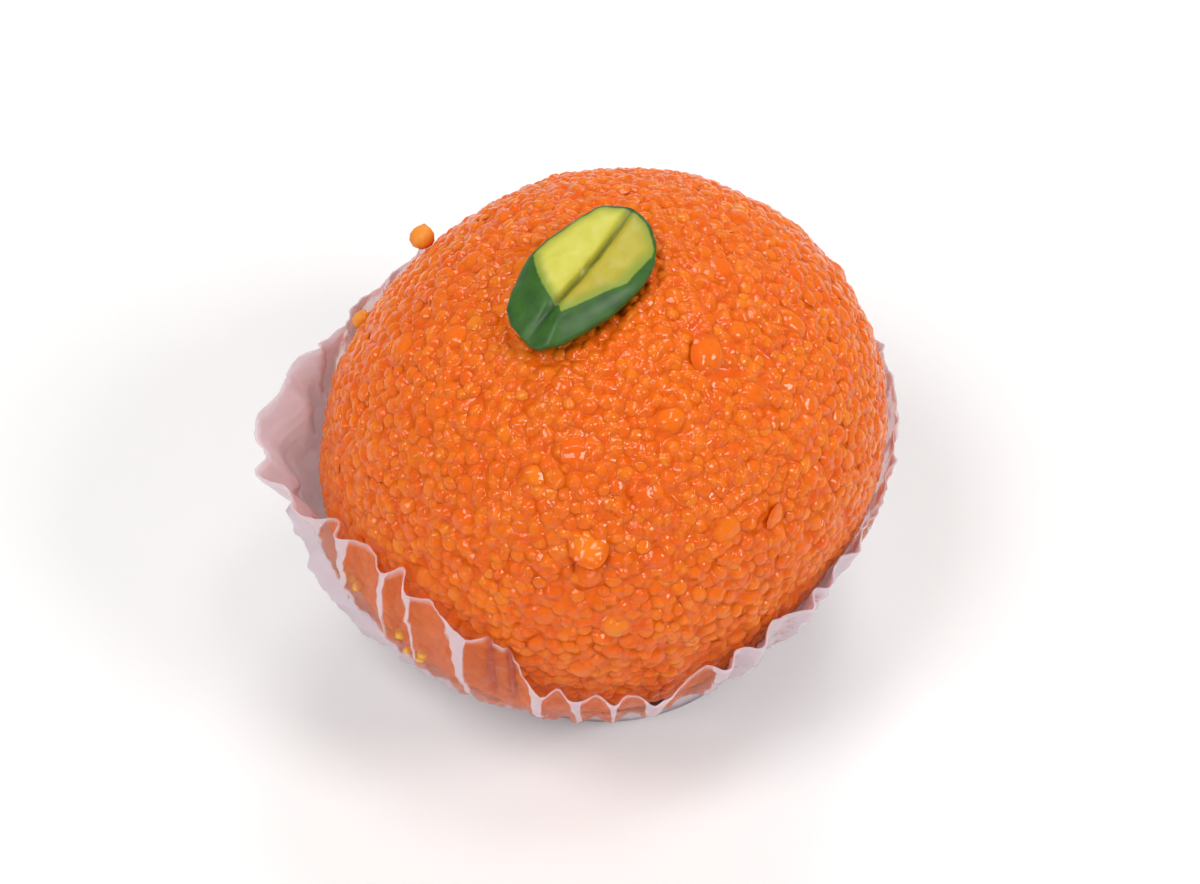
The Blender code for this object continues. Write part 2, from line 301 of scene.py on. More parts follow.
def new_material(name):
    """A material, what adds a node to it, and its Object coordinates."""
    material = bpy.data.materials.new(name)
    material.use_nodes = True
    add = partial(add_node, material.node_tree)
    return material, add, add("ShaderNodeTexCoord").outputs["Object"]


def set_shader(material, values, **followed):
    """Sets the shader's plain values, and lets the named inputs follow a socket."""
    tree = material.node_tree
    shader = tree.nodes["Principled BSDF"]
    for name, value in values.items():
        shader.inputs[name].default_value = value
    for name, socket in followed.items():
        tree.links.new(socket, shader.inputs[name.replace("_", " ")])


def syrup_pearl_material():
    """Boondi: drops of gram-flour batter fried and soaked in orange syrup. Syrup wets
    them, so each shows a small sharp highlight and lets light a little way in. They
    differ in colour from drop to drop, and are painted darker and redder towards their
    feet, as the shade in the creases between them."""
    material, add, place = new_material("fried_boondi_in_syrup")
    tint = add("ShaderNodeAttribute", attribute_name="tint")
    lift = add("ShaderNodeAttribute", attribute_name="lift")
    patches = add("ShaderNodeTexNoise", {"Vector": place, "Scale": 1 / (9 * MM), "Detail": 2.0})
    batter = add(
        "ShaderNodeMix",
        {0: tint.outputs["Fac"], 6: linear("#ea6210"), 7: linear("#f07a16")},
        data_type="RGBA",
    )
    patch_share = add(
        "ShaderNodeMapRange",
        {"Value": patches.outputs["Fac"], "From Min": 0.35, "From Max": 0.7, "To Min": 0.0, "To Max": 0.4},
    )
    patched = add(
        "ShaderNodeMix", {0: patch_share, 6: batter.outputs[2], 7: linear("#e65c0e")}, data_type="RGBA"
    )
    paler_share = add(
        "ShaderNodeMapRange",
        {"Value": tint.outputs["Fac"], "From Min": 0.95, "From Max": 0.98, "To Min": 0.0, "To Max": 0.4},
    )
    paler = add(
        "ShaderNodeMix", {0: paler_share, 6: patched.outputs[2], 7: linear("#f28a20")}, data_type="RGBA"
    )
    # Painted shade: each pearl darker and redder towards its foot, in the creases between pearls
    foot_shade_share = add(
        "ShaderNodeMapRange",
        {"Value": lift.outputs["Fac"], "From Min": 0.0, "From Max": 0.6, "To Min": 0.6, "To Max": 0.0},
    )
    colour = add(
        "ShaderNodeMix", {0: foot_shade_share, 6: paler.outputs[2], 7: linear("#e0560c")}, data_type="RGBA"
    )
    ripples = add("ShaderNodeTexNoise", {"Vector": place, "Scale": 1 / RIPPLE_SIZE, "Detail": 0.0})
    bump = add("ShaderNodeBump", {"Height": ripples, "Strength": 1.0, "Distance": RIPPLE_DEPTH})
    bumped = bump.outputs["Normal"]
    set_shader(material, SYRUP_GLAZE, Base_Color=colour.outputs[2], Normal=bumped, Coat_Normal=bumped)
    return material


def syrup_core_material():
    """Fused boondi under sugar syrup: the same grains as the core's relief, each of a
    slightly different orange, painted darker and redder in the creases as their shade,
    all glossy."""
    material, add, place = new_material("fused_boondi_under_sugar_syrup")
    grains = add(
        "ShaderNodeTexVoronoi",
        {"Vector": place, "Scale": 1 / GRAIN_SIZE, "Smoothness": GRAIN_SMOOTHNESS},
        feature="SMOOTH_F1",
    )
    each = add("ShaderNodeSeparateColor", {0: grains.outputs["Color"]})
    batter = add(
        "ShaderNodeMix", {0: each, 6: linear("#e8600f"), 7: linear("#ef7815")}, data_type="RGBA"
    )
    # Painted shade: darker and redder towards each grain's crease
    crease = add(
        "ShaderNodeMapRange", {"Value": grains, "From Min": 0.35, "From Max": 0.7, "To Max": 0.45}
    )
    colour = add(
        "ShaderNodeMix", {0: crease, 6: batter.outputs[2], 7: linear("#dc500a")}, data_type="RGBA"
    )
    ripples = add("ShaderNodeTexNoise", {"Vector": place, "Scale": 1 / RIPPLE_SIZE, "Detail": 0.0})
    domes = add(
        "ShaderNodeMapRange",
        {"Value": grains, "To Min": 1.0, "To Max": 0.0, **GRAIN_DOME},
        interpolation_type="SMOOTHSTEP",
    )
    film = add("ShaderNodeMath", (ripples, 0.8, domes), operation="MULTIPLY_ADD")
    bump = add("ShaderNodeBump", {"Height": film, "Strength": 1.0, "Distance": RIPPLE_DEPTH})
    bumped = bump.outputs["Normal"]
    set_shader(material, SYRUP_GLAZE, Base_Color=colour.outputs[2], Normal=bumped, Coat_Normal=bumped)
    return material


def glassine_material():
    """Greaseproof glassine: supercalendered pulp, thin, smooth and cloudy. Dry it is a
    milky sheet with a soft sheen. Where it touches the sweet it has drunk fat and syrup
    and turned clear and orange, pale on the pleats and low down. Where it is folded in it
    is dark red: the sheet doubled there, and painted shade of the fold. Its top edge is
    painted paler and more opaque, a painted highlight along the rim."""
    material, add, place = new_material("greaseproof_glassine")
    oiled = add("ShaderNodeAttribute", attribute_name="oiled")
    rise = add("ShaderNodeAttribute", attribute_name="rise")
    tuck = add("ShaderNodeAttribute", attribute_name="tuck")
    blotches = add(
        "ShaderNodeTexNoise", {"Vector": place, "Scale": 1 / (3 * MM), "Detail": 4.0, "Roughness": 0.8}
    )
    wetness = add("ShaderNodeMath", (blotches, 0.8, oiled.outputs["Fac"]), operation="MULTIPLY_ADD")
    soaked = add(
        "ShaderNodeMapRange",
        {"Value": wetness, "From Min": 0.72, "From Max": 1.0},
        interpolation_type="SMOOTHSTEP",
    )
    # Painted highlight: the rim's top edge is made paler and more opaque, a light line along it
    hem = add(
        "ShaderNodeMapRange",
        {"Value": rise.outputs["Fac"], "From Min": 0.955, "From Max": 1.0, "To Max": 0.8},
    )
    clear = add("ShaderNodeMath", (soaked, hem), operation="SUBTRACT", use_clamp=True)
    opacity = add(
        "ShaderNodeMapRange", {"Value": clear, "To Min": DRY_OPACITY, "To Max": SOAKED_OPACITY}
    )
    # Where the sheet is tucked it is dark red and more opaque: the paper folded double, and painted shade
    # of the fold
    folded = add("ShaderNodeMath", (tuck.outputs["Fac"], 0.7), operation="MULTIPLY")
    alpha = add("ShaderNodeMath", (opacity, folded), operation="MAXIMUM")
    sheet = add(
        "ShaderNodeMix", {0: clear, 6: linear("#ecdbe4"), 7: linear("#ee7a26")}, data_type="RGBA"
    )
    colour = add(
        "ShaderNodeMix",
        {0: tuck.outputs["Fac"], 6: sheet.outputs[2], 7: linear("#c8401a")},
        data_type="RGBA",
    )

    # Real fibres are finer than a pixel of the render, so these are drawn coarser
    fibres = add("ShaderNodeTexNoise", {"Vector": place, "Scale": 1 / (0.8 * MM), "Detail": 3.0})
    crimps = add(
        "ShaderNodeTexWave",
        {"Vector": place, "Scale": WAVE_PERIOD / (1.1 * MM), "Distortion": 3.0, "Detail": 2.0},
        bands_direction="Z",
    )
    grain = add(
        "ShaderNodeMath",
        {0: crimps.outputs["Fac"], 1: 0.5, 2: fibres.outputs["Fac"]},
        operation="MULTIPLY_ADD",
    )
    bump = add("ShaderNodeBump", {"Height": grain, "Strength": 0.4, "Distance": 0.12 * MM})
    values = {
        "Roughness": 0.34,
        "IOR": 1.47,
        "Subsurface Weight": 0.25,
        "Subsurface Scale": 0.3 * MM,
        "Coat Weight": 0.25,
        "Coat Roughness": 0.15,
    }
    set_shader(
        material,
        values,
        Base_Color=colour.outputs[2],
        Alpha=alpha.outputs[0],
        Normal=bump.outputs["Normal"],
    )
    return material


def kernel_material(middle):
    """Pistachio kernel, sliced lengthwise: moist yellow-green flesh, greener towards the
    rim, and a papery deep green skin where the knife left it. Both are painted darker
    along the seam's groove, as its shade."""
    material, add, place = new_material("sliced_pistachio_kernel")
    own = add(
        "ShaderNodeMapping",
        {"Vector": place, "Location": middle, "Rotation": (0.0, 0.0, math.radians(NUT_TURN))},
        vector_type="TEXTURE",
    )
    skin = add("ShaderNodeAttribute", attribute_name="skin")
    green = add("ShaderNodeAttribute", attribute_name="green")
    seam = add("ShaderNodeAttribute", attribute_name="seam")
    streaks = add("ShaderNodeMapping", {"Vector": own.outputs["Vector"], "Scale": (0.28, 1.0, 1.0)})
    grain = add(
        "ShaderNodeTexNoise",
        {"Vector": streaks.outputs["Vector"], "Scale": 1 / (0.7 * MM), "Detail": 3.0},
    )
    mottle = add(
        "ShaderNodeTexNoise", {"Vector": own.outputs["Vector"], "Scale": 1 / (1.8 * MM), "Detail": 4.0}
    )
    lobe = add("ShaderNodeAttribute", attribute_name="lobe")
    paler = add("ShaderNodeMath", (mottle, 1.1, lobe.outputs["Fac"]), operation="MULTIPLY_ADD")
    paleness = add("ShaderNodeMapRange", {"Value": paler, "From Min": 0.35, "From Max": 1.65})
    flesh = add(
        "ShaderNodeMix", {0: paleness, 6: linear("#ad9b16"), 7: linear("#c9c448")}, data_type="RGBA"
    )
    green_share = add(
        "ShaderNodeMath",
        {0: grain.outputs["Fac"], 1: 0.35, 2: green.outputs["Fac"]},
        operation="MULTIPLY_ADD",
    )
    greener = add(
        "ShaderNodeMapRange",
        {"Value": green_share, "From Min": 0.3, "From Max": 1.1},
        interpolation_type="SMOOTHSTEP",
    )
    rimmed = add(
        "ShaderNodeMix", {0: greener, 6: flesh.outputs[2], 7: linear("#86962a")}, data_type="RGBA"
    )
    # Painted shade: flesh and skin darker along the seam's groove
    seam_shade_share = add("ShaderNodeMath", {0: seam.outputs["Fac"], 1: 0.75}, operation="MULTIPLY")
    seam_shaded_flesh = add(
        "ShaderNodeMix", {0: seam_shade_share, 6: rimmed.outputs[2], 7: linear("#4f5a14")}, data_type="RGBA"
    )
    husk = add(
        "ShaderNodeMix",
        {0: mottle.outputs["Fac"], 6: linear("#0a2e08"), 7: linear("#3e7418")},
        data_type="RGBA",
    )
    skin_edge = add(
        "ShaderNodeMath",
        {0: grain.outputs["Fac"], 1: 0.4, 2: skin.outputs["Fac"]},
        operation="MULTIPLY_ADD",
    )
    skinned = add(
        "ShaderNodeMapRange",
        {"Value": skin_edge, "From Min": 0.6, "From Max": 0.85},
        interpolation_type="SMOOTHSTEP",
    )
    seam_shaded_skin = add(
        "ShaderNodeMix", {0: seam_shade_share, 6: husk.outputs[2], 7: linear("#10260a")}, data_type="RGBA"
    )
    colour = add(
        "ShaderNodeMix", {0: skinned, 6: seam_shaded_flesh.outputs[2], 7: seam_shaded_skin.outputs[2]}, data_type="RGBA"
    )
    bump = add(
        "ShaderNodeBump", {"Height": grain.outputs["Fac"], "Strength": 0.5, "Distance": 0.12 * MM}
    )
    values = {
        "Roughness": 0.5,
        "IOR": 1.46,
        "Subsurface Weight": 0.15,
        "Subsurface Scale": 0.8 * MM,
        "Subsurface Radius": (0.7, 0.9, 0.2),
        "Coat Weight": 0.12,
        "Coat Roughness": 0.25,
    }
    set_shader(material, values, Base_Color=colour.outputs[2], Normal=bump.outputs["Normal"])
    return material


def crumb_material(name, paler, deeper):
    """Dry boondi crumbs: batter fried but little soaked, so yellow or orange, matt, rough."""
    material, add, place = new_material(name)
    pores = add("ShaderNodeTexNoise", {"Vector": place, "Scale": 1 / (0.5 * MM), "Detail": 3.0})
    colour = add(
        "ShaderNodeMix", {0: pores.outputs["Fac"], 6: linear(paler), 7: linear(deeper)}, data_type="RGBA"
    )
    bump = add(
        "ShaderNodeBump", {"Height": pores.outputs["Fac"], "Strength": 0.6, "Distance": 0.15 * MM}
    )
    values = {"Roughness": 0.5, "Subsurface Weight": 0.2, "Subsurface Scale": 0.8 * MM}
    set_shader(material, values, Base_Color=colour.outputs[2], Normal=bump.outputs["Normal"])
    return material


def studio_floor_material():
    """A white paper sweep, matt and even."""
    material = bpy.data.materials.new("white_paper_sweep")
    material.use_nodes = True
    shader = material.node_tree.nodes["Principled BSDF"]
    shader.inputs["Base Color"].default_value = linear("#f6f5f4")
    shader.inputs["Roughness"].default_value = 0.9
    return material


# The ball


def merged_copy(node):
    """A bmesh copy of one of the frame's solids with its loose triangles joined up."""
    shape = bmesh.new()
    shape.from_mesh(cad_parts[node].data)
    bmesh.ops.remove_doubles(shape, verts=shape.verts, dist=0.002 * MM)
    return shape


def ball_core(material):
    """The syrup body under the pearls: the ball's solid with its low pyramids smoothed
    away, a little smaller, and with fine facets. Gives its smooth skin for the pearls
    to sit on as well."""
    shape = merged_copy("ladoo")
    axes = {"use_axis_x": True, "use_axis_y": True, "use_axis_z": True}
    for _ in range(CORE_SMOOTHING):
        bmesh.ops.smooth_vert(shape, verts=shape.verts, factor=0.5, **axes)
    bmesh.ops.subdivide_edges(shape, edges=shape.edges, cuts=CORE_CUTS, use_grid_fill=True)
    for _ in range(FACET_SMOOTHING):
        bmesh.ops.smooth_vert(shape, verts=shape.verts, factor=0.5, **axes)
    shape.normal_update()
    for vertex in shape.verts:
        vertex.co -= vertex.normal * CORE_DEPTH

    # Its flat goes back to where the frame has it
    lowest = min(v.co.z for v in shape.verts)
    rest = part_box("ladoo")[0].z - lowest
    for vertex in shape.verts:
        vertex.co.z += rest * max(0.0, 1.0 - (vertex.co.z - lowest) / FLAT_EASE)
    mesh = bpy.data.meshes.new("ladoo_core")
    shape.to_mesh(mesh)
    shape.normal_update()
    for vertex in shape.verts:
        vertex.co += vertex.normal * PEARL_SEAT
    seat = keep_mesh("pearl_seat", shape)
    sizes = {"Grain Size": GRAIN_SIZE, "Grain Height": GRAIN_HEIGHT, "Finish": material}
    return grow("ladoo_core", grained_core_tree(), sizes, mesh), seat


def grained_core_tree():
    """Gives a surface the relief of round grains pressed together, of uneven size."""
    tree, start, finish = geometry_tree(
        "Grained core",
        (
            ("Grain Size", "NodeSocketFloat"),
            ("Grain Height", "NodeSocketFloat"),
            ("Finish", "NodeSocketMaterial"),
        ),
    )
    given = start.outputs
    add = partial(add_node, tree)
    place = add("GeometryNodeInputPosition")
    often = add("ShaderNodeMath", {0: 1.0, 1: given["Grain Size"]}, operation="DIVIDE")
    grains = add(
        "ShaderNodeTexVoronoi",
        {"Vector": place, "Scale": often, "Smoothness": GRAIN_SMOOTHNESS},
        feature="SMOOTH_F1",
    )
    height = add(
        "ShaderNodeMapRange",
        {"Value": grains, "To Min": given["Grain Height"], "To Max": 0.0, **GRAIN_DOME},
        interpolation_type="SMOOTHSTEP",
    )
    outward = add("GeometryNodeInputNormal")
    offset = add("ShaderNodeVectorMath", {0: outward, "Scale": height}, operation="SCALE")
    raised = add("GeometryNodeSetPosition", {"Geometry": given["Geometry"], "Offset": offset})
    smooth = add("GeometryNodeSetShadeSmooth", {"Geometry": raised})
    real = add("GeometryNodeRealizeInstances", {"Geometry": smooth})
    made = add("GeometryNodeSetMaterial", {"Geometry": real, "Material": given["Finish"]})
    tree.links.new(made.outputs[0], finish.inputs[0])
    return tree


def pearl(name, around, profile):
    """One pearl of radius 1 with the skirt of syrup that wets its foot. Its lift says how
    high a point is, from 0 to 1."""
    shape = bmesh.new()
    lift = shape.verts.layers.float.new("lift")
    top = shape.verts.new((0.0, 0.0, profile[0][1] + PEARL_TOP))
    top[lift] = 1.0
    rings = []
    for out, height in profile:
        turns = [2 * math.pi * k / around for k in range(around)]
        ring = [shape.verts.new((out * math.cos(t), out * math.sin(t), height)) for t in turns]
        for vertex in ring:
            vertex[lift] = max(0.0, min(1.0, height / profile[0][1]))
        rings.append(ring)
    for k in range(around):
        after = (k + 1) % around
        shape.faces.new((top, rings[0][k], rings[0][after]))
        for upper, lower in zip(rings, rings[1:]):
            shape.faces.new((upper[k], lower[k], lower[after], upper[after]))
    for face in shape.faces:
        face.smooth = True
    underside = shape.faces.new(reversed(rings[-1]))
    for edge in underside.edges:
        edge.smooth = False
    return link_object(name, keep_mesh(name, shape))


def pearl_cover_tree():
    """Spreads pearls over a surface, no two nearer than the spacing, none near what is
    to be kept clear, each with its own size, turn and tint."""
    tree, start, finish = geometry_tree(
        "Pearl cover",
        (
            ("Pearl", "NodeSocketObject"),
            ("Keep Clear", "NodeSocketObject"),
            ("Clear Room", "NodeSocketFloat"),
            ("Spacing", "NodeSocketFloat"),
            ("Density", "NodeSocketFloat"),
            ("Smallest", "NodeSocketFloat"),
            ("Largest", "NodeSocketFloat"),
            ("Lowest", "NodeSocketFloat"),
            ("Seed", "NodeSocketInt"),
            ("Finish", "NodeSocketMaterial"),
        ),
    )
    given = start.outputs
    add = partial(add_node, tree)
    points = add(
        "GeometryNodeDistributePointsOnFaces",
        {
            "Mesh": given["Geometry"],
            "Distance Min": given["Spacing"],
            "Density Max": given["Density"],
            "Seed": given["Seed"],
        },
        distribute_method="POISSON",
    )
    clear_of = add("GeometryNodeObjectInfo", {"Object": given["Keep Clear"]}, transform_space="RELATIVE")
    nearness = add("GeometryNodeProximity", {0: clear_of.outputs["Geometry"]})
    too_near = add(
        "FunctionNodeCompare",
        {0: nearness.outputs["Distance"], 1: given["Clear Room"]},
        operation="LESS_THAN",
    )
    place = add("GeometryNodeInputPosition")
    axes = add("ShaderNodeSeparateXYZ", {0: place})
    too_low = add(
        "FunctionNodeCompare", {0: axes.outputs["Z"], 1: given["Lowest"]}, operation="LESS_THAN"
    )
    unwanted = add("FunctionNodeBooleanMath", {0: too_near, 1: too_low}, operation="OR")
    kept = add(
        "GeometryNodeDeleteGeometry",
        {"Geometry": points.outputs["Points"], "Selection": unwanted},
        domain="POINT",
    )
    draw = add("FunctionNodeRandomValue", {2: 0.0, 3: 1.0, "Seed": 3}, data_type="FLOAT")
    biased = add("ShaderNodeMath", {0: draw.outputs[1], 1: SMALLER_MORE_OFTEN}, operation="POWER")
    radius = add(
        "ShaderNodeMapRange", {"Value": biased, "To Min": given["Smallest"], "To Max": given["Largest"]}
    )
    oddness = add(
        "FunctionNodeRandomValue",
        {0: PEARL_STRETCH[0], 1: PEARL_STRETCH[1], "Seed": 5},
        data_type="FLOAT_VECTOR",
    )
    size = add("ShaderNodeVectorMath", {0: oddness, "Scale": radius}, operation="SCALE")
    spin = add(
        "FunctionNodeRandomValue",
        {0: (-PEARL_LEAN, -PEARL_LEAN, 0.0), 1: (PEARL_LEAN, PEARL_LEAN, 2 * math.pi), "Seed": 7},
        data_type="FLOAT_VECTOR",
    )
    turn = add("FunctionNodeEulerToRotation", {0: spin})
    upright = add(
        "FunctionNodeRotateRotation", {0: points.outputs["Rotation"], 1: turn}, rotation_space="LOCAL"
    )
    shape = add("GeometryNodeObjectInfo", {"Object": given["Pearl"], "As Instance": True})
    pearls = add(
        "GeometryNodeInstanceOnPoints",
        {"Points": kept, "Instance": shape.outputs["Geometry"], "Rotation": upright, "Scale": size},
    )
    tint = add("FunctionNodeRandomValue", {2: 0.0, 3: 1.0, "Seed": 11}, data_type="FLOAT")
    tinted = add(
        "GeometryNodeStoreNamedAttribute",
        {"Geometry": pearls, "Name": "tint", "Value": tint.outputs[1]},
        data_type="FLOAT",
        domain="INSTANCE",
    )
    real = add("GeometryNodeRealizeInstances", {"Geometry": tinted})
    made = add("GeometryNodeSetMaterial", {"Geometry": real, "Material": given["Finish"]})
    tree.links.new(made.outputs[0], finish.inputs[0])
    return tree


def cover_with_pearls(seat, taken, material):
    """Large pearls first, then the fine ones round them and round what is there."""
    tree = pearl_cover_tree()
    there = link_object("there", joined_mesh("there", taken))
    large_pearl = pearl("large_pearl", LARGE_SIDES, LARGE_PROFILE)
    fine_pearl = pearl("fine_pearl", FINE_SIDES, FINE_PROFILE)
    large = grow(
        "boondi_large",
        tree,
        {
            "Pearl": large_pearl,
            "Keep Clear": there,
            "Clear Room": LARGE_ROOM,
            "Spacing": LARGE_SPACING,
            "Density": LARGE_DENSITY,
            "Smallest": LARGE_RADIUS[0],
            "Largest": LARGE_RADIUS[1],
            "Lowest": LOWEST_PEARL,
            "Seed": 4,
            "Finish": material,
        },
        seat.copy(),
    )
    keep_clear = link_object("keep_clear", joined_mesh("keep_clear", (large, *taken)))
    fine = grow(
        "boondi_fine",
        tree,
        {
            "Pearl": fine_pearl,
            "Keep Clear": keep_clear,
            "Clear Room": FINE_ROOM,
            "Spacing": FINE_SPACING,
            "Density": FINE_DENSITY,
            "Smallest": FINE_RADIUS[0],
            "Largest": FINE_RADIUS[1],
            "Lowest": LOWEST_PEARL,
            "Seed": 9,
            "Finish": material,
        },
        seat.copy(),
    )
    for helper in (large_pearl, fine_pearl, there, keep_clear):
        bpy.data.objects.remove(helper)
    return large, fine


def joined_mesh(name, items):
    """One mesh with all the items' faces in it."""
    shape = bmesh.new()
    for item in items:
        shape.from_mesh(item.data)
    return keep_mesh(name, shape)


# The paper case


def shape_curve(node, values, top):
    """Draws a smooth curve round the case through (degrees from the front, value)."""
    curve = node.mapping.curves[0]
    wanted = [((angle + 180) / 360, value / top) for angle, value in values]
    while len(curve.points) < len(wanted):
        curve.points.new(0.5, 0.5)
    for point, place in zip(curve.points, wanted):
        point.location = place
        point.handle_type = "AUTO_CLAMPED"
    node.mapping.update()


def pleated_case_tree():
    """A sheet wrapped round from the foot's edge to the rim. It stands straight or lies on
    the ball where it would cut it, bellies out below, and is pleated more and more on the
    way up. It carries how oily it is, how far up it is and where it is tucked."""
    tree, start, finish = geometry_tree(
        "Pleated case",
        (
            ("Ball", "NodeSocketObject"),
            ("Foot Middle", "NodeSocketVector"),
            ("Foot Radius", "NodeSocketFloat"),
            ("Paper", "NodeSocketFloat"),
            ("Clearance", "NodeSocketFloat"),
            ("Columns", "NodeSocketInt"),
            ("Rows", "NodeSocketInt"),
            ("Flutes", "NodeSocketFloat"),
            ("Finish", "NodeSocketMaterial"),
        ),
    )
    given = start.outputs
    add = partial(add_node, tree)
    sums, span = "ShaderNodeMath", "ShaderNodeMapRange"
    eased = {"interpolation_type": "SMOOTHSTEP"}

    # A flat sheet, one unit square: across it is round the case, up it is up the wall
    columns = add(sums, (given["Columns"], 1.0), operation="ADD")
    rows = add(sums, (given["Rows"], 1.0), operation="ADD")
    sheet = add(
        "GeometryNodeMeshGrid", {"Size X": 1.0, "Size Y": 1.0, "Vertices X": columns, "Vertices Y": rows}
    )
    flat = add("ShaderNodeSeparateXYZ", (add("GeometryNodeInputPosition"),))
    turn = add(sums, (flat.outputs["X"], 0.5), operation="ADD")
    share = add(sums, (flat.outputs["Y"], 0.5), operation="ADD")
    angle = add(sums, (flat.outputs["X"], 2 * math.pi), operation="MULTIPLY")
    back = add(sums, (add(sums, (angle,), operation="COSINE"), -1.0), operation="MULTIPLY")
    outward = add("ShaderNodeCombineXYZ", (add(sums, (angle,), operation="SINE"), back))

    # What the table gives for this direction
    rim = []
    for column, scale in enumerate(RIM_SCALES, 1):
        curve = add("ShaderNodeFloatCurve", {"Value": turn})
        top = scale / MM if scale < 1.0 else 1.0
        shape_curve(curve, [(row[0], row[column]) for row in RIM], top)
        rim.append(add(sums, (curve, scale), operation="MULTIPLY"))
    rim_level, stand_off, belly, pleat_depth, dryness = rim

    # Pleats of uneven width and depth, and a rim that is not cut quite even
    slow = add("ShaderNodeTexNoise", {"Vector": outward, "Scale": 2.2, "Detail": 1.0})
    quick = add("ShaderNodeTexNoise", {"Vector": outward, "Scale": 9.0, "Detail": 1.0})
    even = add(sums, (turn, given["Flutes"]), operation="MULTIPLY")
    phase = add(sums, (slow, 2.6, even), operation="MULTIPLY_ADD")
    fold = add(sums, (add(sums, (phase, 2.0), operation="MULTIPLY"), 1.0), operation="PINGPONG")
    wave = add(span, {"Value": fold, "From Min": 0.08, "From Max": 0.92}, **eased)
    ragged = add(span, {"Value": quick, "To Min": -RAGGED_RIM, "To Max": RAGGED_RIM})
    fallen = add(sums, (wave, -PLEAT_FALL, ragged), operation="MULTIPLY_ADD")
    rim_height = add(sums, (rim_level, fallen), operation="ADD")
    way_up = add(sums, (share, 0.85), operation="POWER")
    height = add(sums, (way_up, rim_height, given["Paper"]), operation="MULTIPLY_ADD")

    # How far out the ball is at this height and at the rim's
    ball = add("GeometryNodeObjectInfo", {"Object": given["Ball"]}, transform_space="RELATIVE")
    reach = []
    for level in (height, rim_height):
        lifted = add("ShaderNodeCombineXYZ", {2: level})
        source = add("ShaderNodeVectorMath", (given["Foot Middle"], lifted), operation="ADD")
        ray = add(
            "GeometryNodeRaycast",
            {
                0: ball.outputs["Geometry"],
                "Source Position": source,
                "Ray Direction": outward,
                "Ray Length": RAY_LENGTH * MM,
            },
        )
        reach.append(add(sums, (ray.outputs["Hit Distance"], given["Clearance"]), operation="ADD"))
    swelling = add(span, {"Value": height, **BELLY_START}, **eased)
    waist = add(sums, (back, WAIST_SLOPE, WAIST_AT_SIDES), operation="MULTIPLY_ADD")
    over_waist = add(sums, (waist, BELLY_END), operation="ADD")
    sinking = add(
        span,
        {"Value": height, "From Min": waist, "From Max": over_waist, "To Min": 1.0, "To Max": 0.0},
        **eased,
    )
    bellied = add(sums, (swelling, sinking), operation="MULTIPLY")
    held = add(sums, (bellied, belly, reach[0]), operation="MULTIPLY_ADD")
    rim_radius = add(sums, (reach[1], stand_off), operation="ADD")
    flare = add(sums, (rim_radius, given["Foot Radius"]), operation="SUBTRACT")
    straight = add(sums, (way_up, flare, given["Foot Radius"]), operation="MULTIPLY_ADD")
    leaning = add(sums, (straight, held, WALL_BLEND), operation="SMOOTH_MAX")
    wall_starts = add(span, {"Value": share, "From Min": 0.0, "From Max": 0.08}, **eased)
    base = add(span, {"Value": wall_starts, "To Min": given["Foot Radius"], "To Max": leaning})

    # The pleats, the tucks and the crumples
    uneven = add(
        span, {"Value": quick, "From Min": 0.3, "From Max": 0.7, "To Min": 0.6, "To Max": 1.3}, **eased
    )
    deepest = add(sums, (pleat_depth, uneven), operation="MULTIPLY")
    swell = add(sums, (wave, add(sums, (share, 1.2), operation="POWER")), operation="MULTIPLY")
    pleat = add(sums, (deepest, swell), operation="MULTIPLY")
    tuck = None
    for where in TUCKS:
        aside = add(sums, (angle, -math.radians(where)), operation="ADD")
        apart = add(sums, (aside,), operation="ABSOLUTE")
        narrow = add(span, {"Value": apart, "To Min": 1.0, "To Max": 0.0, **TUCK_WIDTH}, **eased)
        tuck = add(sums, (tuck, narrow), operation="MAXIMUM") if tuck else narrow
    upper_part = add(span, {"Value": share, "From Min": 0.45, "From Max": 0.7}, **eased)
    tucked = add(sums, (tuck, upper_part), operation="MULTIPLY")
    pleated = add(sums, (base, pleat), operation="ADD")
    around = add(sums, (tucked, -TUCK_DEPTH, pleated), operation="MULTIPLY_ADD")
    upright = add("ShaderNodeCombineXYZ", {2: height})
    smooth_wall = add("ShaderNodeVectorMath", {0: outward, "Scale": around}, operation="SCALE")
    crease_at = add("ShaderNodeVectorMath", (smooth_wall, upright), operation="ADD")
    creases = add("ShaderNodeTexNoise", {"Vector": crease_at, "Scale": 1 / CREASE_SIZE, "Detail": 3.0})
    looseness = add(sums, (stand_off, 0.35, CREASE_DEPTH), operation="MULTIPLY_ADD")
    loose = add(sums, (looseness, wall_starts), operation="MULTIPLY")
    centred = add(sums, (creases, 0.4), operation="SUBTRACT")
    crumpled = add(sums, (centred, loose, around), operation="MULTIPLY_ADD")
    final = add("ShaderNodeVectorMath", {0: outward, "Scale": crumpled}, operation="SCALE")
    lifted = add("ShaderNodeVectorMath", (final, upright), operation="ADD")
    placed = add("ShaderNodeVectorMath", (lifted, given["Foot Middle"]), operation="ADD")

